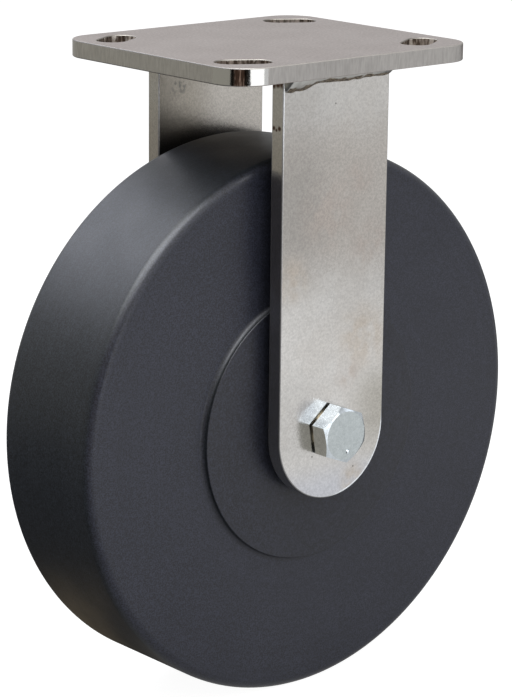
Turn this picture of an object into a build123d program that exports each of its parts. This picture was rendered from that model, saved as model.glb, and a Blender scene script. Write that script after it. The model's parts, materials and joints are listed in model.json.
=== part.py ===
from build123d import *
from math import atan2, cos, degrees, hypot, radians, tan
import os

# A rigid castor: a slotted top plate, two welded legs and a solid wheel on a bolted roller bearing.
# Z is up, X is the rolling direction and Y is the axle. The origin is the centre of the plate's
# top face, and the bolt's head is on the near side, towards -Y. Lengths are in millimetres.

# Top plate
plate_length = 114.3
plate_width = 101.6
plate_thickness = 6.35
plate_corner_radius = 12.7
plate_edge_break = 0.4

# Bolt slots: the centres of a slot's two ends lie this far in from the plate's end and from its side,
# so that the four outer ends make a 92.1 x 66.7 pattern and the four inner ends a 76.2 square
slot_outer_from_end = 11.1
slot_outer_from_side = 17.45
slot_inner_from_end = 19.05
slot_inner_from_side = 12.7
slot_width = 11.1
slot_edge_break = 0.4

# Legs, cut from flat bar
leg_width = 50.8
leg_thickness = 6.35
leg_edge_break = 0.4
axle_drop = 139.7

# Fillet welds: an outer bead is thick at one edge of its leg and thins out, an inner one is even
weld_thick_leg = 6.1
weld_thin_leg = 3.9
weld_inner_leg = 4.0
weld_thick_run = 6.7
weld_taper_run = 11.5
weld_crown = 0.12
weld_end_gap = 0.2
weld_end_run = 1.3
weld_end_shrink = 0.7

# Wheel
wheel_diameter = 205.2
wheel_width = 50.8
wheel_edge_radius = 4.0
boss_diameter = 101.6
boss_height = 2.4
boss_base_radius = 1.8
boss_edge_break = 0.3
bore_mouth_break = 0.8

# Roller bearing
bushing_diameter = 19.05
bushing_edge_break = 0.5
roller_diameter = 5.55
roller_count = 10
roller_length = 41.0
roller_edge_break = 0.3
running_clearance = 0.03
sleeve_wall = 1.6
sleeve_inset = 1.2
cage_wall = 2.0
cage_end_ring = 3.0
pocket_clearance = 0.15

# Thrust washers
washer_diameter = 41.3
washer_thickness = 3.2
washer_bore_clearance = 0.2
side_play = 0.75

# Axle bolt
bolt_diameter = 12.7
bolt_clearance = 0.2
head_flats = 19.05
head_height = 7.94
head_turn = 8.5
washer_face_diameter = 18.1
washer_face_height = 0.9
thread_length = 31.8
thread_depth = 0.97
bolt_end_chamfer = 1.0
bolt_protrusion = 3.5

# Lock nut, a hexagon with a round collar that holds a soft ring
nut_flats = 19.05
nut_hex_height = 11.1
nut_collar_height = 4.4
nut_collar_diameter = 17.3
nut_collar_taper = 0.9
nut_turn = 21.0
insert_width = 2.4
insert_height = 2.8
insert_lip_height = 0.7
insert_lip_width = 0.8

# A hexagon's corners are turned off at this angle down to a round face, a share of its width across flats
hexagon_chamfer_angle = 30.0
hexagon_face_share = 0.95
turning_margin = 1.0

# Sizes that follow from these
bolt_radius = bolt_diameter / 2
bushing_radius = bushing_diameter / 2
roller_radius = roller_diameter / 2
roller_pitch_radius = bushing_radius + running_clearance + roller_radius
raceway_radius = roller_pitch_radius + roller_radius + running_clearance
sleeve_radius = raceway_radius + sleeve_wall
hub_length = wheel_width + 2 * boss_height
leg_inner_y = hub_length / 2 + side_play + washer_thickness
leg_outer_y = leg_inner_y + leg_thickness
bolt_hole_radius = bolt_radius + bolt_clearance
thread_root_radius = bolt_radius - thread_depth
nut_height = nut_hex_height + nut_collar_height
bolt_length = 2 * leg_outer_y + nut_height + bolt_protrusion

# Across the axle, these planes all face the near side. Along it, the section's x is the global Y
# and its y is the radius.
axle_centre = (0, 0, -axle_drop)
axle = Axis(axle_centre, (0, 1, 0))
axle_section = Plane(origin=axle_centre, x_dir=(0, 1, 0), z_dir=(1, 0, 0))
wheel_middle = Plane(origin=axle_centre, x_dir=(1, 0, 0), z_dir=(0, -1, 0))
near_leg_inside = wheel_middle.offset(leg_inner_y)
near_leg_outside = wheel_middle.offset(leg_outer_y)
far_leg_inside = wheel_middle.offset(-leg_inner_y)
far_leg_outside = wheel_middle.offset(-leg_outer_y)
pieces = {}

# The top plate, with four slots that slant across its corners
slot_run_x = slot_inner_from_end - slot_outer_from_end
slot_run_y = slot_outer_from_side - slot_inner_from_side
slot_middle_x = plate_length / 2 - (slot_outer_from_end + slot_inner_from_end) / 2
slot_middle_y = plate_width / 2 - (slot_outer_from_side + slot_inner_from_side) / 2
slot_run = hypot(slot_run_x, slot_run_y)
slot_slant = degrees(atan2(slot_run_y, slot_run_x))

with BuildPart() as top_plate:
    with BuildSketch():
        RectangleRounded(plate_length, plate_width, plate_corner_radius)
    extrude(amount=-plate_thickness)
    chamfer(top_plate.faces().filter_by(Axis.Z).edges(), plate_edge_break)
    with BuildSketch():
        for side_x in (-1, 1):
            for side_y in (-1, 1):
                with Locations((side_x * slot_middle_x, side_y * slot_middle_y)):
                    SlotCenterToCenter(slot_run, slot_width, rotation=-side_x * side_y * slot_slant)
    extrude(amount=-plate_thickness, mode=Mode.SUBTRACT)
    slot_edges = top_plate.edges(Select.LAST)
    chamfer(slot_edges - slot_edges.filter_by(Axis.Z), slot_edge_break)
pieces["top_plate"] = top_plate.part


# The legs stand under the plate and end in a half circle about the axle
def flat_bar_leg(outside_or_inside):
    with BuildPart() as leg:
        with BuildSketch(outside_or_inside):
            Circle(leg_width / 2)
            Rectangle(leg_width, axle_drop - plate_thickness, align=(Align.CENTER, Align.MIN))
        extrude(amount=leg_thickness)
        welded_end = leg.faces().sort_by(Axis.Z)[-1]
        chamfer(leg.faces().filter_by(Axis.Y).edges() - welded_end.edges(), leg_edge_break)
        with BuildSketch(outside_or_inside):
            Circle(bolt_hole_radius)
        extrude(amount=leg_thickness, mode=Mode.SUBTRACT)
    return leg.part


pieces["near_leg"] = flat_bar_leg(near_leg_inside)
pieces["far_leg"] = flat_bar_leg(far_leg_outside)


# A weld bead fills the corner between the plate's underside and a leg's face. Its section is a
# triangle with equal legs and a crowned face. The outward side is -1 towards -Y and 1 towards +Y,
# and the side it starts from is -1 at the -X end and 1 at the +X end.
def weld_bead(face_y, outward, start_leg, run_leg, start_side):
    length = leg_width - 2 * weld_end_gap
    stations = [
        (0, start_leg * weld_end_shrink),
        (weld_end_run, start_leg),
        (weld_thick_run, start_leg),
        (weld_thick_run + weld_taper_run, run_leg),
        (length - weld_end_run, run_leg),
        (length, run_leg * weld_end_shrink),
    ]
    with BuildPart() as bead:
        for distance, size in stations:
            x = start_side * (length / 2 - distance)
            crown = size / 2 + size * weld_crown
            corner = Plane(origin=(x, face_y, -plate_thickness), x_dir=(0, outward, 0), z_dir=(-outward, 0, 0))
            with BuildSketch(corner):
                with BuildLine():
                    Line((0, size), (0, 0))
                    Line((0, 0), (size, 0))
                    ThreePointArc((size, 0), (crown, crown), (0, size))
                make_face()
        loft(ruled=True)
    return bead.part


pieces["near_outer_weld"] = weld_bead(-leg_outer_y, -1, weld_thick_leg, weld_thin_leg, -1)
pieces["near_inner_weld"] = weld_bead(-leg_inner_y, 1, weld_inner_leg, weld_inner_leg, -1)
pieces["far_inner_weld"] = weld_bead(leg_inner_y, -1, weld_inner_leg, weld_inner_leg, 1)
pieces["far_outer_weld"] = weld_bead(leg_outer_y, 1, weld_thick_leg, weld_thin_leg, 1)

# The wheel: a flat tread with rounded edges, and a flat round boss on each side
with BuildPart() as wheel:
    with BuildSketch(axle_section) as wheel_profile:
        Rectangle(wheel_width, wheel_diameter / 2, align=(Align.CENTER, Align.MIN))
        fillet(wheel_profile.vertices().group_by(Axis.Y)[-1], wheel_edge_radius)
        Rectangle(hub_length, boss_diameter / 2, align=(Align.CENTER, Align.MIN))
        boss_corners = wheel_profile.vertices().sort_by_distance((0, boss_diameter / 2))[:4]
        fillet(boss_corners[:2], boss_base_radius)
        chamfer(boss_corners[2:], boss_edge_break)
        Rectangle(hub_length, 2 * sleeve_radius, mode=Mode.SUBTRACT)
        chamfer(wheel_profile.vertices().group_by(Axis.Y)[0], bore_mouth_break)
    revolve(axis=axle)
pieces["wheel"] = wheel.part

# The bearing's outer race, pressed into the hub
with BuildPart() as bearing_sleeve:
    with BuildSketch(wheel_middle):
        Circle(sleeve_radius)
        Circle(raceway_radius, mode=Mode.SUBTRACT)
    extrude(amount=hub_length / 2 - sleeve_inset, both=True)
pieces["bearing_sleeve"] = bearing_sleeve.part

# The cage: a tube with a pocket for each roller and a closed ring at each end
with BuildPart() as roller_cage:
    with BuildSketch(wheel_middle):
        Circle(roller_pitch_radius + cage_wall / 2)
        Circle(roller_pitch_radius - cage_wall / 2, mode=Mode.SUBTRACT)
    extrude(amount=roller_length / 2 + pocket_clearance + cage_end_ring, both=True)
    with BuildSketch(wheel_middle):
        with PolarLocations(roller_pitch_radius, roller_count):
            Circle(roller_radius + pocket_clearance)
    extrude(amount=roller_length / 2 + pocket_clearance, both=True, mode=Mode.SUBTRACT)
pieces["roller_cage"] = roller_cage.part


# The rollers run between the spanner bushing and the sleeve
def roller(turn):
    with BuildPart() as pin:
        with BuildSketch(wheel_middle):
            with PolarLocations(roller_pitch_radius, 1, start_angle=turn):
                Circle(roller_radius)
        extrude(amount=roller_length / 2, both=True)
        chamfer(pin.edges().filter_by(GeomType.CIRCLE), roller_edge_break)
    return pin.part


for number in range(roller_count):
    pieces[f"roller_{number + 1:02}"] = roller(360 * number / roller_count)

# The inner race: a tube round the bolt, clamped between the legs
with BuildPart() as spanner_bushing:
    with BuildSketch(wheel_middle):
        Circle(bushing_radius)
    extrude(amount=leg_inner_y, both=True)
    chamfer(spanner_bushing.edges().filter_by(GeomType.CIRCLE), bushing_edge_break)
    with BuildSketch(wheel_middle):
        Circle(bolt_hole_radius)
    extrude(amount=leg_inner_y, both=True, mode=Mode.SUBTRACT)
pieces["spanner_bushing"] = spanner_bushing.part


# A thrust washer lies against each leg, round the bushing, and leaves the hub its side play
def thrust_washer(leg_inside, towards_near):
    with BuildPart() as washer:
        with BuildSketch(leg_inside):
            Circle(washer_diameter / 2)
            Circle(bushing_radius + washer_bore_clearance, mode=Mode.SUBTRACT)
        extrude(amount=towards_near * washer_thickness)
    return washer.part


pieces["near_thrust_washer"] = thrust_washer(near_leg_inside, -1)
pieces["far_thrust_washer"] = thrust_washer(far_leg_inside, 1)

# The axle bolt: the head is a hexagon with its corners turned off, over a thin round washer face
head_face_radius = hexagon_face_share * head_flats / 2
head_blank_radius = head_flats / 2 / cos(radians(30)) + turning_margin
head_chamfer = (head_blank_radius - head_face_radius) * tan(radians(hexagon_chamfer_angle))
head_top_y = -leg_outer_y - head_height

with BuildPart() as axle_bolt:
    with BuildSketch(near_leg_outside):
        RegularPolygon(head_flats / 2, 6, major_radius=False, rotation=90 + head_turn)
    extrude(amount=head_height)
    with BuildSketch(axle_section):
        with BuildLine():
            Polyline(
                (-leg_outer_y, 0),
                (-leg_outer_y, washer_face_diameter / 2),
                (-leg_outer_y - washer_face_height, washer_face_diameter / 2),
                (-leg_outer_y - washer_face_height, head_blank_radius),
                (head_top_y + head_chamfer, head_blank_radius),
                (head_top_y, head_face_radius),
                (head_top_y, 0),
                close=True,
            )
        make_face()
    revolve(axis=axle, mode=Mode.INTERSECT)
    with BuildSketch(near_leg_outside):
        Circle(bolt_radius)
    extrude(amount=thread_length - bolt_length)
    with BuildSketch(near_leg_outside):
        Circle(thread_root_radius)
    extrude(amount=-bolt_length)
    chamfer(axle_bolt.faces().sort_by(Axis.Y)[-1].edges(), bolt_end_chamfer)
pieces["axle_bolt"] = axle_bolt.part

# The lock nut, with a groove in its collar for the soft ring
nut_face_radius = hexagon_face_share * nut_flats / 2
nut_blank_radius = nut_flats / 2 / cos(radians(30)) + turning_margin
nut_chamfer = (nut_blank_radius - nut_face_radius) * tan(radians(hexagon_chamfer_angle))
nut_collar_radius = nut_collar_diameter / 2
insert_radius = thread_root_radius + insert_width
insert_base = leg_outer_y + nut_height - insert_lip_height - insert_height

with BuildPart() as axle_nut:
    with BuildSketch(far_leg_outside):
        RegularPolygon(nut_flats / 2, 6, major_radius=False, rotation=nut_turn)
    extrude(amount=-nut_height)
    with BuildSketch(axle_section):
        with BuildLine():
            Polyline(
                (leg_outer_y, 0),
                (leg_outer_y, nut_face_radius),
                (leg_outer_y + nut_chamfer, nut_blank_radius),
                (leg_outer_y + nut_hex_height - nut_chamfer, nut_blank_radius),
                (leg_outer_y + nut_hex_height, nut_face_radius),
                (leg_outer_y + nut_hex_height, nut_collar_radius),
                (leg_outer_y + nut_height - nut_collar_taper, nut_collar_radius),
                (leg_outer_y + nut_height, nut_collar_radius - nut_collar_taper),
                (leg_outer_y + nut_height, 0),
                close=True,
            )
        make_face()
    revolve(axis=axle, mode=Mode.INTERSECT)
    with BuildSketch(far_leg_outside):
        Circle(thread_root_radius)
    extrude(amount=-nut_height, mode=Mode.SUBTRACT)
    with BuildSketch(wheel_middle.offset(-insert_base)):
        Circle(insert_radius)
    extrude(amount=-insert_height, mode=Mode.SUBTRACT)
    with BuildSketch(wheel_middle.offset(-insert_base)):
        Circle(insert_radius - insert_lip_width)
    extrude(amount=-insert_height - insert_lip_height, mode=Mode.SUBTRACT)
pieces["axle_nut"] = axle_nut.part

# The soft ring that grips the thread
with BuildPart() as nut_insert:
    with BuildSketch(wheel_middle.offset(-insert_base)):
        Circle(insert_radius)
        Circle(thread_root_radius, mode=Mode.SUBTRACT)
    extrude(amount=-insert_height)
pieces["nut_insert"] = nut_insert.part

# One file for each piece
os.makedirs("parts", exist_ok=True)
for name, piece in pieces.items():
    piece.label = name
    export_step(piece, f"parts/{name}.step")
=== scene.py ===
import json
import math

import bmesh
import bpy
from mathutils import Matrix, Vector, noise


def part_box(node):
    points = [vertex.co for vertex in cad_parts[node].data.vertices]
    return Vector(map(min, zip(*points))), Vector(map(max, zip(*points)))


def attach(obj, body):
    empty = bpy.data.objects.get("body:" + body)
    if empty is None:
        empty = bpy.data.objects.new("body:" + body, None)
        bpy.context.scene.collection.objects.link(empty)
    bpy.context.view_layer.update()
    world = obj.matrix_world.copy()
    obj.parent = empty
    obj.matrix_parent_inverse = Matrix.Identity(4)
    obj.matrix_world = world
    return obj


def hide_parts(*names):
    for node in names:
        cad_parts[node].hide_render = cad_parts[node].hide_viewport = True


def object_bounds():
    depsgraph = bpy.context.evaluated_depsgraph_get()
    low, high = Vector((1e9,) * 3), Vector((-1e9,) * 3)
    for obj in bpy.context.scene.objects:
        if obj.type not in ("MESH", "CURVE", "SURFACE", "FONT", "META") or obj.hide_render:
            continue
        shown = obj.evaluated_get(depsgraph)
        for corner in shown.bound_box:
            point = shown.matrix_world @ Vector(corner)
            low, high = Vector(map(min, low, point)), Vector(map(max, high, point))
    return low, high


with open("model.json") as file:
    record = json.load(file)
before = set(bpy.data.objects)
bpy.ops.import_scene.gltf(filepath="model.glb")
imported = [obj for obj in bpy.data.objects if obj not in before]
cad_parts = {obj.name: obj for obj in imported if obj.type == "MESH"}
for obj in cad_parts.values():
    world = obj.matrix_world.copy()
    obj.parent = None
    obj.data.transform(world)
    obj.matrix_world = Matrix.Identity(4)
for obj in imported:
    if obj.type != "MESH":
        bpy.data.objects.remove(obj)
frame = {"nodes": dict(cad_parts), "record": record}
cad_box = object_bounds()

# A rigid castor: a slotted steel plate, two welded legs and a solid nylon wheel. Lengths are in metres,
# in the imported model's frame: Z is up, X is the rolling direction and the bolt's head is towards -Y.
mm = 0.001
scene = bpy.context.scene
scene.view_settings.view_transform = "Standard"

# Camera, at the photograph's viewing angle
camera_place = Vector((-0.6348, -0.7308, 0.1347))
camera_yaw = 40.794
camera_pitch = -14.534
camera_roll = 0.605
photo_focal_length = 2663.05
photo_height = 697
sensor_size = 36

camera_data = bpy.data.cameras.new("camera")
camera_data.sensor_width = sensor_size
camera_data.lens = photo_focal_length * sensor_size / photo_height
camera_data.clip_end = 50
camera = bpy.data.objects.new("camera", camera_data)
scene.collection.objects.link(camera)
scene.camera = camera
camera.matrix_world = (
    Matrix.Translation(camera_place)
    @ Matrix.Rotation(math.radians(-camera_yaw), 4, "Z")
    @ Matrix.Rotation(math.radians(90 + camera_pitch), 4, "X")
    @ Matrix.Rotation(math.radians(camera_roll), 4, "Z")
)

# Places and sizes that the frame gives
plate_low, plate_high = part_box("top_plate")
near_leg_low, near_leg_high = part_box("near_leg")
far_leg_low, far_leg_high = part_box("far_leg")
wheel_low, wheel_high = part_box("wheel")
bolt_low, bolt_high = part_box("axle_bolt")
nut_low, nut_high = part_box("axle_nut")
sleeve_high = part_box("bearing_sleeve")[1]
axle_z = (wheel_low.z + wheel_high.z) / 2
floor_z = wheel_low.z
leg_half_width = near_leg_high.x
plate_bottom = plate_low.z

# Sizes that the finishes and the meshes share
plate_corner_radius = 12.7 * mm
leg_edge_radius = 0.5 * mm
washer_face_radius = 9.05 * mm
head_washer_height = 0.9 * mm
tread_half_width = 25.4 * mm
tread_edge_radius = 4.0 * mm
boss_radius = 50.8 * mm

# Marks on the legs: stains (place, size, colour), a smudge, and burnt spots (place, size, colour)
near_face = near_leg_low.y
face_depth = 0.6 * mm
tan = (0.5, 0.45, 0.395)
pink = (0.465, 0.42, 0.385)
stain_places = [
    (Vector((-3.0 * mm, near_face, -58.0 * mm)), 11 * mm, pink),
    (Vector((11.0 * mm, near_face, -47.0 * mm)), 6 * mm, pink),
    (Vector((17.0 * mm, near_face, -72.0 * mm)), 8 * mm, pink),
    (Vector((-21.0 * mm, near_face, -80.0 * mm)), 7 * mm, tan),
    (Vector((15.0 * mm, near_face, -106.0 * mm)), 10 * mm, tan),
    (Vector((7.0 * mm, near_face, -119.0 * mm)), 5 * mm, pink),
    (Vector((10.7 * mm, near_face, -159.9 * mm)), 5 * mm, tan),
]
# Where shade is painted on the near leg, beside the bolt head
by_head_place = Vector((-12.5 * mm, near_face, -130.5 * mm))
smudge_place = Vector((-15.4 * mm, far_leg_low.y, -19.4 * mm))
burnt = (0.09, 0.05, 0.035)
soot = (0.12, 0.115, 0.1)
burn_places = [
    (Vector((-leg_half_width, -33.0 * mm, -25.3 * mm)), 0.75 * mm, burnt),
    (Vector((-leg_half_width, -34.4 * mm, -25.9 * mm)), 0.5 * mm, burnt),
    (Vector((-leg_half_width, -36.0 * mm, -25.2 * mm)), 0.8 * mm, burnt),
    (Vector((-leg_half_width, -32.6 * mm, -10.3 * mm)), 1.1 * mm, burnt),
    (Vector((-leg_half_width, -34.9 * mm, -9.7 * mm)), 1.1 * mm, burnt),
    (Vector((-leg_half_width, -37.4 * mm, -9.1 * mm)), 1.7 * mm, burnt),
    (Vector((-0.7 * mm, near_face, -18.3 * mm)), 0.3 * mm, soot),
    (Vector((-9.4 * mm, near_face, -147.9 * mm)), 0.3 * mm, soot),
    (Vector((11.1 * mm, near_face, -155.3 * mm)), 0.3 * mm, soot),
]


class Finish:
    """A node material that is put together call by call. Positions are the frame's, in metres."""

    def __init__(self, name, metallic=0.0):
        self.material = bpy.data.materials.new(name)
        self.material.use_nodes = True
        self.tree = self.material.node_tree
        self.shader = self.tree.nodes["Principled BSDF"]
        self.place = self.node("ShaderNodeTexCoord").outputs["Object"]
        self.set("Metallic", metallic)

    def set(self, socket, value):
        """Gives a socket of the surface shader a value or another node's output."""
        self.plug(self.shader.inputs[socket], value)

    def plug(self, socket, value):
        if isinstance(value, bpy.types.NodeSocket):
            self.tree.links.new(value, socket)
        elif socket.type == "RGBA" and len(value) == 3:
            socket.default_value = (*value, 1)
        else:
            socket.default_value = value

    def node(self, kind, *inputs, **settings):
        node = self.tree.nodes.new(kind)
        for name, value in settings.items():
            setattr(node, name, value)
        for socket, value in zip(node.inputs, inputs):
            if value is not None:
                self.plug(socket, value)
        return node

    def math(self, operation, *values):
        return self.node("ShaderNodeMath", *values, operation=operation).outputs[0]

    def times(self, first, *others):
        """The product of these values."""
        for other in others:
            first = self.math("MULTIPLY", first, other)
        return first

    def plus(self, first, *others):
        """The sum of these values."""
        for other in others:
            first = self.math("ADD", first, other)
        return first

    def reach(self, first, second):
        """The length of an offset along two axes."""
        return self.math("SQRT", self.plus(self.times(first, first), self.times(second, second)))

    def band(self, value, low, high, to_low=0.0, to_high=1.0):
        """A smooth step from one value to another."""
        step = self.node("ShaderNodeMapRange", interpolation_type="SMOOTHSTEP")
        for socket, number in zip(step.inputs, (value, low, high, to_low, to_high)):
            self.plug(socket, number)
        return step.outputs[0]

    def near(self, value, centre, inner, outer, most=1.0):
        """The most within an inner distance of a centre, and 0 beyond an outer one."""
        distance = self.math("ABSOLUTE", self.math("SUBTRACT", value, centre))
        return self.band(distance, inner, outer, most, 0.0)

    def noise(self, size, detail=2.0, stretch=(1, 1, 1), place=None):
        """Cloudy noise from 0 to 1, with features of about this size."""
        scale = tuple(1 / s for s in stretch)
        scaled = self.node("ShaderNodeMapping", place or self.place, None, None, scale)
        cloud = self.node("ShaderNodeTexNoise")
        self.plug(cloud.inputs["Vector"], scaled.outputs[0])
        self.plug(cloud.inputs["Scale"], 1 / size)
        self.plug(cloud.inputs["Detail"], detail)
        return cloud.outputs[0]

    def blend(self, share, first, second):
        """A colour between two colours."""
        mix = self.node("ShaderNodeMix", data_type="RGBA")
        self.plug(mix.inputs[0], share)
        self.plug(mix.inputs[6], first)
        self.plug(mix.inputs[7], second)
        return mix.outputs[2]

    def shade(self, colour, level):
        """A colour made darker or lighter by a level near 1."""
        grey = self.node("ShaderNodeCombineXYZ", level, level, level).outputs[0]
        return self.node("ShaderNodeVectorMath", colour, grey, operation="MULTIPLY").outputs[0]

    def axes(self, vector=None):
        """The three parts of a vector, or of the position."""
        return self.node("ShaderNodeSeparateXYZ", vector or self.place).outputs

    def facing(self):
        """The three parts of the surface's normal."""
        return self.axes(self.node("ShaderNodeNewGeometry").outputs["Normal"])

    def spot(self, centre, radius, soft=0.5, squash=(1, 1, 1)):
        """1 inside a ball round a point and 0 outside, with a soft edge."""
        offset = self.node("ShaderNodeVectorMath", self.place, tuple(centre), operation="SUBTRACT").outputs[0]
        scaled = self.node("ShaderNodeVectorMath", offset, tuple(1 / s for s in squash), operation="MULTIPLY")
        length = self.node("ShaderNodeVectorMath", scaled.outputs[0], operation="LENGTH").outputs["Value"]
        return self.band(length, radius * (1 - soft), radius * (1 + soft), 1.0, 0.0)

    def bump(self, height, depth, under=None):
        """A bump of this depth in metres, over another bump if there is one."""
        node = self.node("ShaderNodeBump")
        self.plug(node.inputs["Distance"], depth)
        self.plug(node.inputs["Height"], height)
        if under is not None:
            self.plug(node.inputs["Normal"], under)
        return node.outputs[0]


# Steel of the plate: matte on top, finely scored sides, one polished corner, and slots left as cut, with
# painted light and shade on the sides and the broken edges, a painted dark reflection on the polished corner,
# and painted highlights in the slots
def plate_steel():
    f = Finish("plate_steel", metallic=1.0)
    clouds = f.noise(22 * mm, detail=3)
    cloudy = f.band(clouds, 0.35, 0.65)
    grain = f.noise(1.5 * mm, detail=3)
    x, y, z = f.axes()
    facing = f.facing()
    upright = f.math("ABSOLUTE", facing[2])
    sideways = f.band(upright, 0.3, 0.7, 1.0, 0.0)
    endways = f.band(f.math("ABSOLUTE", facing[0]), 0.3, 0.7)

    top_tone = f.blend(cloudy, (0.35, 0.308, 0.292), (0.38, 0.338, 0.322))
    top_tone = f.shade(top_tone, f.band(f.noise(0.9 * mm), 0.25, 0.75, 0.82, 1.17))
    # Painted light and shade: the near side is darker towards -X, and the ends are lighter than the near side
    near_side_tone = f.blend(f.band(x, -20 * mm, 25 * mm), (0.325, 0.312, 0.3), (0.375, 0.36, 0.345))
    side_tone = f.blend(endways, near_side_tone, (0.49, 0.475, 0.445))
    scoring = f.noise(0.5 * mm, stretch=(1, 1, 8))
    side_tone = f.shade(side_tone, f.band(scoring, 0.25, 0.75, 0.88, 1.11))
    tone = f.blend(sideways, top_tone, side_tone)

    from_end = f.math("SUBTRACT", plate_high.x, f.math("ABSOLUTE", x))
    from_side = f.math("SUBTRACT", plate_high.y, f.math("ABSOLUTE", y))
    polish_reach = plate_corner_radius + 0.8 * mm
    at_corner = f.math("LESS_THAN", f.math("MAXIMUM", from_end, from_side), polish_reach)
    at_near_left = f.math("LESS_THAN", f.math("MAXIMUM", x, y), 0.0)
    polished = f.times(at_corner, at_near_left, f.band(upright, 0.1, 0.3, 1.0, 0.0))
    tone = f.blend(polished, tone, (0.575, 0.575, 0.565))

    inwards = f.math("MINIMUM", from_end, from_side)
    # The slot walls and the middle of each rounded corner take the dark cut-wall tone; on the polished corner
    # it is a painted dark reflection
    at_walls_and_corner_middles = f.times(f.math("GREATER_THAN", inwards, 2 * mm), sideways)
    in_slot = f.math("GREATER_THAN", inwards, 4.5 * mm)
    scratches = f.band(f.noise(0.9 * mm, detail=3, stretch=(1, 1, 5)), 0.42, 0.62)
    wall_tone = f.blend(scratches, (0.09, 0.065, 0.05), (0.42, 0.36, 0.31))
    # Painted highlights: bright streaks on the slot walls, dimmed in the far slot
    but_far_right = f.band(f.math("MINIMUM", x, y), 0.0, 1 * mm, 1.0, 0.15)
    streaks = f.band(f.noise(2.6 * mm, detail=1, stretch=(1, 1, 3)), 0.52, 0.62)
    painted_glints = f.times(streaks, in_slot, but_far_right)
    tone = f.blend(at_walls_and_corner_middles, tone, f.blend(painted_glints, wall_tone, (0.85, 0.8, 0.74)))

    # Painted light and shade on the upward-facing broken edges: a light tone along the sides, dark on the
    # ends, and a middle tone round the slots
    broken_edge = f.times(f.band(facing[2], 0.08, 0.2), f.band(facing[2], 0.93, 0.99, 1.0, 0.0))
    painted_edge_light = f.blend(endways, (0.36, 0.34, 0.315), (0.16, 0.153, 0.147))
    tone = f.blend(broken_edge, tone, f.blend(in_slot, painted_edge_light, (0.24, 0.225, 0.205)))
    underneath = f.band(facing[2], -0.95, -0.8, 1.0, 0.0)
    tone = f.blend(underneath, tone, f.blend(cloudy, (0.46, 0.38, 0.3), (0.48, 0.43, 0.38)))

    f.set("Base Color", tone)
    rough = f.times(f.band(grain, 0.2, 0.8, 0.34, 0.42), f.band(polished, 0.0, 1.0, 1.0, 0.31))
    f.set("Roughness", f.plus(rough, f.times(broken_edge, 0.15)))
    ripples = f.noise(1.6 * mm)
    f.set("Normal", f.bump(grain, 0.01 * mm, under=f.bump(ripples, 0.02 * mm)))
    return f.material


def leg_shades(f, tone):
    """The bar's broad tones, painted light and shade for the most part: painted shade in its middle, beside
    the bolt head, low on the right and on the near face's left side, and painted light in the middle on the
    right. It is also lighter and bluer towards the bottom, and warmer on the far leg's inside, darker there
    towards -X.
    """
    x, y, z = f.axes()
    # Painted shade in the bar's middle; lighter and bluer towards the bottom
    tone = f.blend(f.near(z, -53 * mm, 14 * mm, 37 * mm, 0.8), tone, (0.467, 0.438, 0.405))
    tone = f.blend(f.band(z, -148 * mm, -162 * mm), tone, (0.53, 0.54, 0.575))
    # Painted shade beside the bolt head and low on the right, and painted light in the middle on the right
    by_head = f.times(f.spot(by_head_place, 4.5 * mm), f.math("LESS_THAN", y, 0.0))
    tone = f.blend(by_head, tone, (0.4, 0.395, 0.39))
    low_right = f.times(f.band(x, 4 * mm, 22 * mm), f.near(z, -134 * mm, 4 * mm, 22 * mm))
    tone = f.blend(low_right, tone, (0.41, 0.395, 0.36))
    mid_right = f.times(f.band(x, 8 * mm, 22 * mm), f.near(z, -100 * mm, 3 * mm, 12 * mm, 0.25))
    tone = f.blend(mid_right, tone, (0.66, 0.65, 0.63))
    # Painted shade on the near face's left side
    high = f.times(f.band(z, -92 * mm, -58 * mm), f.band(z, -54 * mm, -26 * mm, 1.0, 0.5))
    low = f.times(f.band(z, -124 * mm, -110 * mm, 0.35, 0.0), f.band(z, -152 * mm, -142 * mm))
    left = f.times(f.band(x, -16 * mm, 4 * mm, 0.42, 0.0), f.math("MAXIMUM", high, low))
    on_near_face = f.math("LESS_THAN", y, near_face + face_depth)
    tone = f.blend(f.times(left, on_near_face), tone, (0.255, 0.25, 0.24))
    # The far leg's inside: warmer, and darker towards -X
    on_inner_face = f.times(f.band(y, 0.0, 1 * mm), f.math("LESS_THAN", y, far_leg_low.y + face_depth))
    inner_tone = f.blend(f.band(x, -12 * mm, 6 * mm), (0.38, 0.353, 0.31), (0.505, 0.48, 0.445))
    return f.blend(on_inner_face, tone, inner_tone)


def leg_marks(f, tone):
    """Stains, a smudge on the far leg, and burnt spots."""
    stains = f.band(f.noise(6 * mm), 0.32, 0.6, 0.15, 0.85)
    for place, size, colour in stain_places:
        tone = f.blend(f.times(f.spot(place, size, soft=0.7), stains), tone, colour)
    blotches = f.band(f.noise(1.6 * mm, detail=3), 0.5, 0.6)
    smudge = f.times(f.spot(smudge_place, 3.4 * mm, soft=0.6, squash=(1.2, 1, 0.9)), blotches, 0.75)
    tone = f.blend(smudge, tone, (0.16, 0.16, 0.15))
    for place, size, colour in burn_places:
        tone = f.blend(f.spot(place, size), tone, colour)
    return tone


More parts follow.
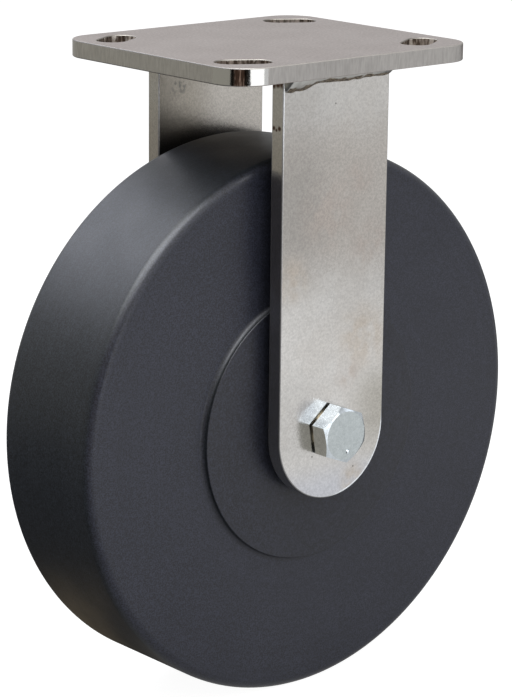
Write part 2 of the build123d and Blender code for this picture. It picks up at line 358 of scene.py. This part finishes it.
def leg_edges(f):
    """Where the bar's broken edges are, and where a painted highlight runs along them."""
    x, y, z = f.axes()
    fade = 0.15 * mm
    low_right = f.times(f.band(x, -5 * mm, 8 * mm), f.band(z, axle_z - 4 * mm, axle_z + 6 * mm, 1.0, 0.0))
    edge_width = f.band(low_right, 0.0, 1.0, leg_edge_radius, leg_edge_radius + 0.35 * mm)
    below = f.math("MINIMUM", f.math("SUBTRACT", z, axle_z), 0.0)
    at_rim = f.band(f.plus(f.reach(x, below), edge_width), leg_half_width, leg_half_width + fade)
    aside = f.math("ABSOLUTE", y)
    from_inside = f.math("ABSOLUTE", f.math("SUBTRACT", aside, far_leg_low.y))
    from_outside = f.math("ABSOLUTE", f.math("SUBTRACT", aside, far_leg_high.y))
    from_face = f.math("MINIMUM", from_inside, from_outside)
    at_face = f.band(from_face, leg_edge_radius, leg_edge_radius + fade, 1.0, 0.0)
    high_left = f.times(f.band(z, -48 * mm, -16 * mm, 0.08, 0.72), f.band(x, 0.0, 5 * mm, 1.0, 0.0))
    return f.times(at_rim, at_face), f.math("MAXIMUM", low_right, high_left)


# Steel of the legs: semi-gloss with a slight orange peel, marks left by welding and handling, and broad tones
# and edge lines, most of them painted light and shade
def leg_steel():
    f = Finish("leg_steel", metallic=1.0)
    clouds = f.noise(14 * mm)
    peel = f.noise(1.3 * mm)
    grain = f.noise(0.8 * mm)
    x, y, z = f.axes()
    tone = f.blend(f.band(clouds, 0.35, 0.65), (0.557, 0.541, 0.52), (0.578, 0.567, 0.551))
    tone = leg_marks(f, leg_shades(f, tone))
    edge, edge_highlight = leg_edges(f)
    # The broken edges are painted dark, as shade, and light where the painted highlight runs
    tone = f.blend(edge, tone, f.blend(edge_highlight, (0.22, 0.215, 0.21), (0.85, 0.88, 0.92)))
    f.set("Base Color", f.shade(tone, f.band(grain, 0.25, 0.75, 0.9, 1.09)))
    smooth = f.times(f.band(clouds, 0.3, 0.7, 0.18, 0.21), f.band(y, 0.0, 1 * mm, 1.0, 1.25))
    f.set("Roughness", f.band(edge, 0.0, 1.0, smooth, 0.42))
    f.set("Normal", f.bump(peel, 0.024 * mm, under=f.bump(grain, 0.012 * mm)))
    return f.material


# Weld metal: bright on the bead and burnt brown along its toe
def weld_metal():
    f = Finish("weld_metal", metallic=1.0)
    patches = f.noise(4 * mm)
    grain = f.noise(0.9 * mm)
    across = f.node("ShaderNodeAttribute", attribute_name="across").outputs["Fac"]
    toe = f.band(f.plus(across, f.band(patches, 0.3, 0.7, -0.12, 0.12)), 0.52, 0.68)
    bright_tone = f.blend(patches, (0.42, 0.42, 0.4), (0.56, 0.56, 0.54))
    burnt_tone = f.blend(f.band(grain, 0.4, 0.6), (0.06, 0.045, 0.033), (0.22, 0.18, 0.13))
    f.set("Base Color", f.blend(toe, bright_tone, burnt_tone))
    f.set("Roughness", f.band(toe, 0.0, 1.0, 0.28, 0.5))
    f.set("Normal", f.bump(grain, 0.03 * mm))
    return f.material


# Bright zinc plate: bluish, with a painted warm reflection on the sides that face down, a darker tone on the
# ends, and a warm tone painted for the lit band on the washer face's side under the head
def zinc_plate():
    f = Finish("zinc_plate", metallic=1.0)
    clouds = f.noise(2.2 * mm, detail=3)
    grain = f.noise(0.7 * mm)
    facing = f.facing()
    endways = f.math("ABSOLUTE", facing[1])
    # Painted warm reflection: a yellower tone on the sides that face down; the end faces get a darker tone
    flat_low = f.times(f.band(facing[2], -0.3, 0.4, 1.0, 0.0), f.band(endways, 0.2, 0.5, 1.0, 0.0))
    tone = f.blend(flat_low, (0.59, 0.64, 0.68), (0.5, 0.49, 0.43))
    tone = f.blend(f.band(endways, 0.92, 0.985), tone, (0.45, 0.49, 0.5))
    x, y, z = f.axes()
    reach = f.reach(x, f.math("SUBTRACT", z, axle_z))
    # Painted light: a warm beige tone stands for the lit band on the washer face's side, in the gap under the
    # head
    in_washer = f.math("LESS_THAN", reach, washer_face_radius + 0.25 * mm)
    past_hexagon = f.math("GREATER_THAN", y, near_face - head_washer_height)
    washer_side = f.times(past_hexagon, f.math("LESS_THAN", y, 0.0), in_washer)
    tone = f.blend(washer_side, tone, (0.36, 0.31, 0.22))
    tone = f.shade(tone, f.band(clouds, 0.25, 0.75, 0.93, 1.07))
    f.set("Base Color", f.shade(tone, f.band(grain, 0.25, 0.75, 0.92, 1.07)))
    f.set("Roughness", f.band(clouds, 0.3, 0.7, 0.14, 0.24))
    f.set("Normal", f.bump(f.noise(1.6 * mm), 0.02 * mm, under=f.bump(grain, 0.006 * mm)))
    return f.material


# Turned nylon: faint rings from the lathe, a fine grain, a darker boss, and a painted tint on the tread for
# the light it reflects
def wheel_nylon():
    f = Finish("wheel_nylon")
    f.set("Specular IOR Level", 0.4)
    x, y, z = f.axes()
    radius = f.reach(x, f.math("SUBTRACT", z, axle_z))
    ring_place = f.node("ShaderNodeCombineXYZ", radius, y, 0.0).outputs[0]
    rings = f.noise(1.2 * mm, detail=3, place=ring_place)
    clouds = f.noise(18 * mm, detail=4)
    grain = f.noise(0.55 * mm)
    endways = f.math("ABSOLUTE", f.facing()[1])

    tone = f.blend(f.band(clouds, 0.3, 0.7), (0.017, 0.019, 0.031), (0.0215, 0.0235, 0.0365))
    # A painted tint for the light the tread reflects: the tread gets its own, less blue tone than the faces
    tone = f.blend(f.band(endways, 0.3, 0.8, 0.85, 0.0), tone, (0.0155, 0.0193, 0.0238))
    tone = f.shade(tone, f.band(f.noise(1.7 * mm), 0.3, 0.7, 0.86, 1.14))
    tone = f.shade(tone, f.band(grain, 0.3, 0.7, 0.4, 1.6))
    on_boss = f.band(radius, boss_radius + 1.2 * mm, boss_radius + 2.2 * mm, 0.75, 1.0)
    f.set("Base Color", f.shade(tone, f.times(on_boss, f.band(rings, 0.3, 0.7, 0.9, 1.08))))

    at_edge = f.band(radius, wheel_high.x - tread_edge_radius, wheel_high.x - 0.6 * tread_edge_radius)
    inner = tread_half_width - 0.9 * tread_edge_radius
    outer = tread_half_width - 0.6 * tread_edge_radius
    on_rounding = f.times(at_edge, f.band(f.math("ABSOLUTE", y), inner, outer))
    rough = f.band(clouds, 0.3, 0.7, 0.4, 0.47)
    f.set("Roughness", f.math("SUBTRACT", rough, f.times(on_rounding, 0.06)))
    tooling = f.times(rings, f.band(endways, 0.3, 0.8, 1.0, 0.35))
    f.set("Normal", f.bump(tooling, 0.026 * mm, under=f.bump(grain, 0.02 * mm)))
    return f.material


# Ground steel of the bearing, pressed steel of its cage and the thrust washers
def machined_steel(name, colour, rough):
    f = Finish(name, metallic=1.0)
    lines = f.noise(0.8 * mm, stretch=(1, 8, 1))
    f.set("Base Color", f.blend(lines, tuple(0.92 * c for c in colour), colour))
    f.set("Roughness", f.band(lines, 0.2, 0.8, rough, rough + 0.08))
    f.set("Normal", f.bump(lines, 0.006 * mm))
    return f.material


# Soft nylon of the nut's ring
def insert_nylon():
    f = Finish("insert_nylon")
    f.set("Roughness", 0.45)
    clouds = f.noise(2 * mm)
    f.set("Base Color", f.blend(clouds, (0.68, 0.69, 0.66), (0.76, 0.77, 0.74)))
    f.set("Normal", f.bump(clouds, 0.02 * mm))
    return f.material


finishes = {
    "plate_steel": plate_steel(),
    "leg_steel": leg_steel(),
    "weld_metal": weld_metal(),
    "zinc_plate": zinc_plate(),
    "wheel_nylon": wheel_nylon(),
    "bearing_steel": machined_steel("bearing_steel", (0.56, 0.56, 0.57), 0.16),
    "cage_steel": machined_steel("cage_steel", (0.42, 0.41, 0.4), 0.3),
    "washer_steel": machined_steel("washer_steel", (0.5, 0.5, 0.5), 0.28),
    "insert_nylon": insert_nylon(),
}
for subpart in frame["record"]["subparts"]:
    node_mesh = frame["nodes"][subpart["node"]].data
    node_mesh.materials.clear()
    node_mesh.materials.append(finishes[subpart["material_slot"]])


def new_piece(name, points, faces, body, slot, sharp_angle=35):
    """A mesh piece that moves with a body and takes its finish from a slot."""
    mesh = bpy.data.meshes.new(name)
    mesh.from_pydata(points, [], faces)
    mesh.update()
    mesh.shade_smooth()
    mesh.set_sharp_from_angle(angle=math.radians(sharp_angle))
    mesh.materials.append(finishes[slot])
    piece = bpy.data.objects.new(name, mesh)
    scene.collection.objects.link(piece)
    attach(piece, body)
    return piece


def arc(centre, radius, start, end, steps):
    """Points on an arc, in two coordinates. Its angles are in degrees."""
    turns = [math.radians(start + (end - start) * i / steps) for i in range(steps + 1)]
    return [(centre[0] + radius * math.cos(t), centre[1] + radius * math.sin(t)) for t in turns]


def lathe(profile_at, segments, start=0.0, closed=True):
    """A profile of (y, radius) points, worked out at each turn round the axle. An open one gets flat ends."""
    points, faces = [], []
    for i in range(segments):
        turn = start + 2 * math.pi * i / segments
        profile = profile_at(turn)
        points += [(r * math.cos(turn), y, axle_z + r * math.sin(turn)) for y, r in profile]
    count = len(profile)
    for i in range(segments):
        here, there = i * count, (i + 1) % segments * count
        for j in range(count if closed else count - 1):
            k = (j + 1) % count
            faces.append((here + j, here + k, there + k, there + j))
    if not closed:
        faces.append(tuple(i * count for i in range(segments)))
        faces.append(tuple(i * count + count - 1 for i in reversed(range(segments))))
    return points, faces


def flat_stock_normal(face, vertex, upward):
    """The normal of a face's corner: the flat face's there, else the wall's, else an average."""
    normals = [other.normal for other in vertex.link_faces if other.normal.dot(face.normal) > 0.5]
    flat = [n for n in normals if abs(n.dot(upward)) > 0.9999]
    wall = [n for n in normals if abs(n.dot(upward)) < 0.001]
    return sum(flat or wall or normals, Vector()).normalized()


def flat_piece(name, node, outlines, place, thickness, edge_radius, slot):
    """A piece cut from flat stock, along closed outlines of (x, y) points: its own first, then its holes."""
    curve = bpy.data.curves.new(name, "CURVE")
    curve.dimensions = "2D"
    curve.fill_mode = "BOTH"
    curve.extrude = thickness / 2 - edge_radius
    curve.bevel_depth = edge_radius
    curve.bevel_resolution = 3
    curve.offset = -edge_radius
    for outline in outlines:
        spline = curve.splines.new("POLY")
        spline.points.add(len(outline) - 1)
        for point, (x, y) in zip(spline.points, outline):
            point.co = (x, y, 0, 1)
        spline.use_cyclic_u = True
    carrier = bpy.data.objects.new(name, curve)
    mesh = bpy.data.meshes.new_from_object(carrier)
    bpy.data.objects.remove(carrier)
    mesh.transform(place)
    cut = bmesh.new()
    cut.from_mesh(mesh)
    bmesh.ops.remove_doubles(cut, verts=cut.verts, dist=0.001 * mm)
    bmesh.ops.recalc_face_normals(cut, faces=cut.faces)
    points = [tuple(v.co) for v in cut.verts]
    faces = [tuple(v.index for v in face.verts) for face in cut.faces]
    upward = place.to_3x3() @ Vector((0, 0, 1))
    normals = [flat_stock_normal(face, vertex, upward) for face in cut.faces for vertex in face.verts]
    cut.free()
    piece = new_piece(name, points, faces, "fork", slot, sharp_angle=40)
    piece.data.normals_split_custom_set(normals)
    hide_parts(node)
    return piece


# The wheel, turned finely: the same form as its CAD node
boss_base_radius = 1.8 * mm
boss_edge_radius = 0.4 * mm
bore_mouth = 0.8 * mm
wheel_radius = wheel_high.x
hub_half = wheel_high.y
bore_radius = sleeve_high.x

half_profile = [(hub_half - bore_mouth, bore_radius), (hub_half, bore_radius + bore_mouth)]
boss_edge_centre = (hub_half - boss_edge_radius, boss_radius - boss_edge_radius)
half_profile += arc(boss_edge_centre, boss_edge_radius, 0, 90, 4)
boss_base_centre = (tread_half_width + boss_base_radius, boss_radius + boss_base_radius)
half_profile += arc(boss_base_centre, boss_base_radius, 270, 180, 8)
tread_edge_centre = (tread_half_width - tread_edge_radius, wheel_radius - tread_edge_radius)
half_profile += arc(tread_edge_centre, tread_edge_radius, 0, 90, 12)
wheel_profile = [(-y, r) for y, r in half_profile] + half_profile[::-1]
wheel_segments = 360
wheel_mesh = lathe(lambda turn: wheel_profile, wheel_segments)
wheel = new_piece("nylon_wheel", *wheel_mesh, "wheel", "wheel_nylon")
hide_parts("wheel")

# The top plate, with a stadium-shaped slot slanting across each corner
plate_edge_radius = 0.45 * mm
slot_outer_end = (46.05 * mm, 33.35 * mm)
slot_inner_end = (38.1 * mm, 38.1 * mm)
slot_radius = 5.55 * mm
arc_steps = 24


def rounded_rectangle(half_x, half_y, radius):
    """An outline round the origin."""
    points = []
    for side_x, side_y, start in ((1, 1, 0), (-1, 1, 90), (-1, -1, 180), (1, -1, 270)):
        centre = (side_x * (half_x - radius), side_y * (half_y - radius))
        points += arc(centre, radius, start, start + 90, arc_steps)
    return points


def stadium(first, second, radius):
    """A slot's outline, with a half circle round each of two points."""
    slant = math.degrees(math.atan2(second[1] - first[1], second[0] - first[0]))
    ends = arc(second, radius, slant - 90, slant + 90, arc_steps)
    return ends + arc(first, radius, slant + 90, slant + 270, arc_steps)


plate_outlines = [rounded_rectangle(plate_high.x, plate_high.y, plate_corner_radius)]
for side_x in (-1, 1):
    for side_y in (-1, 1):
        first = (side_x * slot_outer_end[0], side_y * slot_outer_end[1])
        second = (side_x * slot_inner_end[0], side_y * slot_inner_end[1])
        plate_outlines.append(stadium(first, second, slot_radius))
plate_thickness = plate_high.z - plate_low.z
plate_place = Matrix.Translation((0, 0, (plate_low.z + plate_high.z) / 2))
flat_piece(
    "slotted_plate",
    "top_plate",
    plate_outlines,
    plate_place,
    plate_thickness,
    plate_edge_radius,
    "plate_steel",
)

# The legs: flat bars with a half-round lower end and a hole for the bolt
bolt_hole_radius = 6.55 * mm
leg_outline = [(leg_half_width, plate_bottom - axle_z), (-leg_half_width, plate_bottom - axle_z)]
leg_outline += arc((0, 0), leg_half_width, 180, 360, 3 * arc_steps)
bolt_hole = arc((0, 0), bolt_hole_radius, 0, 350, 35)
on_edge = Matrix.Rotation(math.radians(90), 4, "X")
for name, node, low, high in (
    ("near_leg_bar", "near_leg", near_leg_low, near_leg_high),
    ("far_leg_bar", "far_leg", far_leg_low, far_leg_high),
):
    leg_place = Matrix.Translation((0, (low.y + high.y) / 2, axle_z)) @ on_edge
    flat_piece(name, node, [leg_outline, bolt_hole], leg_place, high.y - low.y, leg_edge_radius, "leg_steel")

# The bolt and its lock nut: hexagons with their corners turned off down to a round face
head_flats = 19.05 * mm
hexagon_face_radius = 0.475 * head_flats
hexagon_chamfer = math.tan(math.radians(30))
hexagon_segments = 240
head_first_corner = math.radians(98.5)
bolt_radius = 6.35 * mm
thread_root = 5.38 * mm
thread_length = 31.8 * mm
bolt_end_chamfer = 1.0 * mm


def hexagon_reach(turn, first_corner, flats):
    """How far a hexagon's side is from its middle in this direction."""
    from_flat = (turn - first_corner) % (math.pi / 3) - math.pi / 6
    return flats / 2 / math.cos(from_flat)


def bolt_profile(turn):
    reach = hexagon_reach(turn, head_first_corner, head_flats)
    leg_face = near_leg_low.y
    return [
        (bolt_low.y, hexagon_face_radius),
        (bolt_low.y + (reach - hexagon_face_radius) * hexagon_chamfer, reach),
        (leg_face - head_washer_height, reach),
        (leg_face - head_washer_height, washer_face_radius),
        (leg_face, washer_face_radius),
        (leg_face, bolt_radius),
        (bolt_high.y - thread_length, bolt_radius),
        (bolt_high.y - thread_length, thread_root),
        (bolt_high.y - bolt_end_chamfer, thread_root),
        (bolt_high.y, thread_root - bolt_end_chamfer),
    ]


bolt_mesh = lathe(bolt_profile, hexagon_segments, head_first_corner, closed=False)
bolt = new_piece("hex_bolt", *bolt_mesh, "fork", "zinc_plate", sharp_angle=25)
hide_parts("axle_bolt")

nut_first_corner = math.radians(-21)
nut_hex_height = 11.1 * mm
nut_collar_radius = 8.65 * mm
nut_collar_taper = 0.9 * mm
insert_radius = 7.78 * mm
insert_height = 2.8 * mm
insert_lip_height = 0.7 * mm
insert_lip_width = 0.8 * mm
insert_base = nut_high.y - insert_lip_height - insert_height


def nut_profile(turn):
    reach = hexagon_reach(turn, nut_first_corner, head_flats)
    slope = (reach - hexagon_face_radius) * hexagon_chamfer
    hex_top = nut_low.y + nut_hex_height
    return [
        (nut_low.y, thread_root),
        (nut_low.y, hexagon_face_radius),
        (nut_low.y + slope, reach),
        (hex_top - slope, reach),
        (hex_top, hexagon_face_radius),
        (hex_top, nut_collar_radius),
        (nut_high.y - nut_collar_taper, nut_collar_radius),
        (nut_high.y, nut_collar_radius - nut_collar_taper),
        (nut_high.y, insert_radius - insert_lip_width),
        (insert_base + insert_height, insert_radius - insert_lip_width),
        (insert_base + insert_height, insert_radius),
        (insert_base, insert_radius),
        (insert_base, thread_root),
    ]


nut_mesh = lathe(nut_profile, hexagon_segments, nut_first_corner)
nut = new_piece("lock_nut", *nut_mesh, "fork", "zinc_plate", sharp_angle=25)
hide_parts("axle_nut")


def smooth_value(x, stops):
    """A value that eases from one (x, value) stop to the next."""
    for (x0, v0), (x1, v1) in zip(stops, stops[1:]):
        if x <= x1:
            t = min(max((x - x0) / (x1 - x0), 0), 1)
            return v0 + (v1 - v0) * t * t * (3 - 2 * t)
    return stops[-1][1]


# The weld beads: lumpy ridges with slanting ripples, rounded off at both ends. A bead's sizes are given
# as (distance along the leg, size), in millimetres.
outer_bead = [(0, 5.7), (3, 6.1), (6, 6.1), (10, 5.5), (15, 4.05), (19, 3.85)]
outer_bead += [(24, 4.3), (36, 4.25), (40, 3.8), (47, 4.15), (51, 3.7)]
inner_bead = [(0, 4.0), (10, 4.1), (22, 3.7), (34, 4.1), (51, 3.9)]
bead_rows = 260
bead_columns = 14
bead_bulge = 0.61
bead_end_run = 0.6 * mm
bead_end_least = 0.02
bead_end_across = 0.4
bead_root_across = 0.3
ripple_pitch = 1.5 * mm
ripple_slant = 1.6
ripple_height = 0.006 * mm
lump_size = 3.2 * mm
lump_height = 0.09


def weld_bead(node, face_y, outward, start_side, stops):
    """A bead in the corner under the plate. Each point holds how far across it is, for the finish."""
    low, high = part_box(node)
    length = high.x - low.x
    seed = Vector((face_y * 300, outward * 7, 0))
    points, across = [], []
    for i in range(bead_rows + 1):
        distance = length * i / bead_rows
        x = start_side * (length / 2 - distance)
        end_share = min(distance, length - distance) / bead_end_run
        rounding = math.sqrt(max(1 - (1 - min(end_share, 1)) ** 2, bead_end_least))
        size = smooth_value(distance / mm, stops) * mm * rounding
        for j in range(bead_columns + 1):
            share = j / bead_columns
            along_plate = (1 - share) ** 2 + 2 * share * (1 - share) * bead_bulge
            down_leg = share**2 + 2 * share * (1 - share) * bead_bulge
            middle = math.sin(math.pi * share)
            lump = lump_height * noise.noise(Vector((x, share * size, 0)) / lump_size + seed)
            ripple = math.sin(2 * math.pi * (distance + ripple_slant * size * middle) / ripple_pitch)
            swell = 1 + lump + ripple * ripple_height * middle / max(size, mm)
            y = face_y + outward * size * along_plate * swell
            z = plate_bottom - size * down_leg * swell
            points.append((x, y, z))
            across.append(share if end_share > 1 else bead_end_across * share)
        points.append((x, face_y, plate_bottom))
        across.append(bead_root_across)
    ring = bead_columns + 2
    faces = []
    for i in range(bead_rows):
        for j in range(ring):
            k = (j + 1) % ring
            faces.append((i * ring + j, i * ring + k, (i + 1) * ring + k, (i + 1) * ring + j))
    faces.append(tuple(range(ring))[::-1])
    faces.append(tuple(range(bead_rows * ring, (bead_rows + 1) * ring)))
    if outward * start_side < 0:
        faces = [face[::-1] for face in faces]
    bead = new_piece(node + "_bead", points, faces, "fork", "weld_metal", sharp_angle=60)
    layer = bead.data.attributes.new("across", "FLOAT", "POINT")
    layer.data.foreach_set("value", across)
    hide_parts(node)


weld_bead("near_outer_weld", near_leg_low.y, -1, -1, outer_bead)
weld_bead("near_inner_weld", near_leg_high.y, 1, -1, inner_bead)
weld_bead("far_inner_weld", far_leg_low.y, -1, 1, inner_bead)
weld_bead("far_outer_weld", far_leg_high.y, 1, 1, outer_bead)

# The thread on the bolt's far end: a ridge wound round its root, which gets lower at the end
thread_pitch = 1.954 * mm
thread_crest = 6.3 * mm
thread_foot = thread_root - 0.1 * mm
thread_foot_share = 0.46
thread_crest_share = 0.07
thread_end_height = 0.15
thread_rise = 1.2
thread_steps = 64
thread_start = nut_low.y + 2 * mm
thread_end = bolt_high.y - 0.35 * mm


def bolt_thread():
    """The ridge's section is a row of four points, which each step turns and moves along."""
    turns = (thread_end - thread_start) / thread_pitch - 1
    rows = int(turns * thread_steps)
    points, faces = [], []
    for i in range(rows + 1):
        angle = 2 * math.pi * i / thread_steps
        y = thread_start + thread_pitch * (i / thread_steps + 0.5)
        from_end = (rows - i) / thread_steps
        height = min(1, thread_end_height + from_end * thread_rise)
        crest = thread_root + (thread_crest - thread_root) * height
        section = (
            (-thread_foot_share, thread_foot),
            (-thread_crest_share, crest),
            (thread_crest_share, crest),
            (thread_foot_share, thread_foot),
        )
        for share, radius in section:
            x = radius * math.cos(angle)
            z = axle_z + radius * math.sin(angle)
            points.append((x, y + share * thread_pitch, z))
    for i in range(rows):
        for j in range(4):
            k = (j + 1) % 4
            faces.append((i * 4 + j, i * 4 + k, (i + 1) * 4 + k, (i + 1) * 4 + j))
    faces.append((3, 2, 1, 0))
    faces.append(tuple(rows * 4 + j for j in range(4)))
    return points, faces


new_piece("bolt_thread", *bolt_thread(), "fork", "zinc_plate", sharp_angle=30)

# A small raised pip on the bolt head's face
pip_x = 1.15 * mm
pip_drop = 6.5 * mm
pip_radius = 1.0 * mm
pip_height = 0.6 * mm
pip_sink = 0.02 * mm


def dome(centre, radius, height, rings=8, segments=32):
    """A closed dome that points towards -Y."""
    points, faces = [], []
    for i in range(rings):
        lift = math.pi / 2 * i / rings
        reach = radius * math.cos(lift)
        y = centre.y - height * math.sin(lift)
        for j in range(segments):
            turn = 2 * math.pi * j / segments
            points.append((centre.x + reach * math.cos(turn), y, centre.z + reach * math.sin(turn)))
    points.append((centre.x, centre.y - height, centre.z))
    for i in range(rings - 1):
        for j in range(segments):
            k = (j + 1) % segments
            faces.append((i * segments + j, i * segments + k, (i + 1) * segments + k, (i + 1) * segments + j))
    top = (rings - 1) * segments
    for j in range(segments):
        faces.append((top + j, top + (j + 1) % segments, len(points) - 1))
    faces.append(tuple(range(segments))[::-1])
    return points, faces


pip_centre = Vector((pip_x, bolt_low.y + pip_sink, axle_z - pip_drop))
new_piece("bolt_head_pip", *dome(pip_centre, pip_radius, pip_height), "fork", "zinc_plate")


# The studio: a pale floor, a soft room light, softboxes, and cards that only reflections see
floor_size = 12
# Two directions on the floor, as the camera sees them
photo_right = (0.75, -0.66)
photo_inwards = (0.66, 0.75)


def floor_finish():
    """White to the camera. In reflections it glows as a painted reflection, brighter to the object's right
    and warm close behind it.
    """
    f = Finish("floor")
    paths = f.node("ShaderNodeLightPath").outputs
    in_reflections = paths["Is Glossy Ray"]
    f.set("Base Color", f.blend(in_reflections, (0.25, 0.25, 0.25), (0.06, 0.06, 0.06)))
    f.set("Roughness", 0.9)
    f.set("Specular IOR Level", 0.1)

    x, y, z = f.axes()
    reach = f.reach(x, y)
    to_right = f.plus(f.times(x, photo_right[0]), f.times(y, photo_right[1]))
    inwards = f.plus(f.times(x, photo_inwards[0]), f.times(y, photo_inwards[1]))
    on_right = f.times(f.band(to_right, 0.08, 0.2), f.band(to_right, 0.75, 0.95, 1.0, 0.0))
    bright_patch = f.times(f.band(inwards, -0.2, -0.14, 0.4, 0.0), on_right)
    dull_patch = f.times(f.band(inwards, -0.04, 0.01, 0.0, -0.2), f.band(to_right, 0.22, 0.36, 1.0, 0.0))
    in_front = f.plus(
        f.band(to_right, -0.2, 0.15, 0.08, 0.86),
        f.band(to_right, 0.3, 0.5, 0.0, 0.12),
        f.band(to_right, 0.5, 0.72, 0.0, -0.29),
        f.band(to_right, 0.95, 1.4, 0.0, 0.12),
        f.plus(bright_patch, dull_patch),
    )
    in_front = f.times(in_front, f.band(y, -0.03, 0.03, 1.0, 0.05))
    by_wheel = f.times(f.band(y, 0.02, 0.06, 0.02, 0.27), f.band(reach, 0.085, 0.14, 1.0, 0.05))
    level = f.plus(in_front, by_wheel, f.band(y, 0.55, 0.85, 0.0, 0.35))

    behind = f.times(f.band(y, -0.01, 0.03), f.band(reach, 0.15, 0.3, 1.0, 0.0))
    colour = f.blend(f.times(in_reflections, behind), (1, 1, 1), (1, 0.77, 0.45))
    strength = f.plus(f.times(paths["Is Camera Ray"], 0.95), f.times(in_reflections, level))
    glow = f.node("ShaderNodeEmission", colour, strength)
    both = f.node("ShaderNodeAddShader", f.shader.outputs[0], glow.outputs[0])
    f.tree.links.new(both.outputs[0], f.tree.nodes["Material Output"].inputs[0])
    return f.material


floor_mesh = bpy.data.meshes.new("floor")
corners = [(sx * floor_size, sy * floor_size, floor_z) for sx, sy in ((-1, -1), (1, -1), (1, 1), (-1, 1))]
floor_mesh.from_pydata(corners, [], [(0, 1, 2, 3)])
floor_mesh.materials.append(floor_finish())
floor = bpy.data.objects.new("floor", floor_mesh)
scene.collection.objects.link(floor)

middle = Vector((0, 0, (cad_box[0][2] + cad_box[1][2]) / 2))


def aim(place, target):
    """A matrix at a place, with its -Z axis towards a target."""
    turn = (Vector(target) - Vector(place)).to_track_quat("-Z", "Y")
    return Matrix.Translation(place) @ turn.to_matrix().to_4x4()


def around(azimuth, elevation, distance):
    """A place seen from the object's middle in this direction, in degrees from +X."""
    a, e = math.radians(azimuth), math.radians(elevation)
    return Vector((math.cos(a) * math.cos(e), math.sin(a) * math.cos(e), math.sin(e))) * distance + middle


def softbox(name, place, width, height, power, colour=(1, 1, 1)):
    """An area light that faces the object and that the camera doesn't see."""
    data = bpy.data.lights.new(name, "AREA")
    data.shape = "RECTANGLE"
    data.size = width
    data.size_y = height
    data.energy = power
    data.color = colour
    light = bpy.data.objects.new(name, data)
    light.matrix_world = aim(place, middle)
    light.visible_camera = False
    scene.collection.objects.link(light)
    return light


def card(name, place, width, height, colour, strength):
    """A card that only glossy rays see."""
    mesh = bpy.data.meshes.new(name)
    x, y = width / 2, height / 2
    mesh.from_pydata([(-x, -y, 0), (x, -y, 0), (x, y, 0), (-x, y, 0)], [], [(0, 1, 2, 3)])
    material = bpy.data.materials.new(name)
    material.use_nodes = True
    tree = material.node_tree
    tree.nodes.clear()
    glow = tree.nodes.new("ShaderNodeEmission")
    glow.inputs["Color"].default_value = (*colour, 1)
    glow.inputs["Strength"].default_value = strength
    output = tree.nodes.new("ShaderNodeOutputMaterial")
    tree.links.new(glow.outputs[0], output.inputs[0])
    mesh.materials.append(material)
    plane = bpy.data.objects.new(name, mesh)
    plane.matrix_world = aim(place, middle)
    scene.collection.objects.link(plane)
    plane.visible_camera = False
    plane.visible_diffuse = False
    plane.visible_shadow = False
    plane.visible_transmission = False
    return plane


softbox("top_light", around(150, 80, 1.3), 1.2, 1.2, 8)
softbox("front_light", around(262, 42, 1.2), 1.2, 0.9, 5.5)
softbox("back_light", around(108, 41, 1.2), 0.9, 0.7, 5.9, (0.935, 0.965, 1.09))
left_light = softbox("left_light", around(240, 4, 0.6), 0.4, 0.4, 0.5)
left_light.visible_glossy = False
card("white_card", around(274.7, 3, 0.755), 0.61, 0.4, (1, 1, 1), 1.85)
card("dark_card", around(222.5, 6, 0.74), 0.84, 0.7, (0.022, 0.022, 0.021), 1.0)
card("brown_card", around(220.5, 6, 0.68), 0.33, 0.7, (0.37, 0.3, 0.27), 1.0)
card("grey_card", around(148.5, 3, 0.8), 1.57, 0.5, (0.37, 0.355, 0.31), 1.0)
card("back_card", around(82, -8, 0.8), 0.9, 0.25, (0.36, 0.345, 0.3), 1.0)
card("high_card", around(262, 42, 1.1), 0.45, 0.4, (0.98, 0.99, 1), 2.18)
card("rim_card", around(204, 60, 1.15), 1.2, 0.6, (0.95, 0.97, 1), 12)
card("chamfer_card", around(329, 27, 1.1), 0.45, 0.4, (0.93, 0.95, 1), 1.6)

# The room is brighter to the camera and to reflections than as a light
room_lit = 0.35
room_seen = 0.65
world = bpy.data.worlds.new("room")
scene.world = world
world.use_nodes = True
room = world.node_tree
room_light = room.nodes["Background"]
room_light.inputs["Color"].default_value = (1, 1, 1, 1)
paths = room.nodes.new("ShaderNodeLightPath")
white_seen = room.nodes.new("ShaderNodeMath")
white_seen.operation = "MAXIMUM"
room.links.new(paths.outputs["Is Camera Ray"], white_seen.inputs[0])
room.links.new(paths.outputs["Is Glossy Ray"], white_seen.inputs[1])
room_level = room.nodes.new("ShaderNodeMapRange")
room_level.inputs["To Min"].default_value = room_lit
room_level.inputs["To Max"].default_value = room_seen
room.links.new(white_seen.outputs[0], room_level.inputs["Value"])
room.links.new(room_level.outputs[0], room_light.inputs["Strength"])
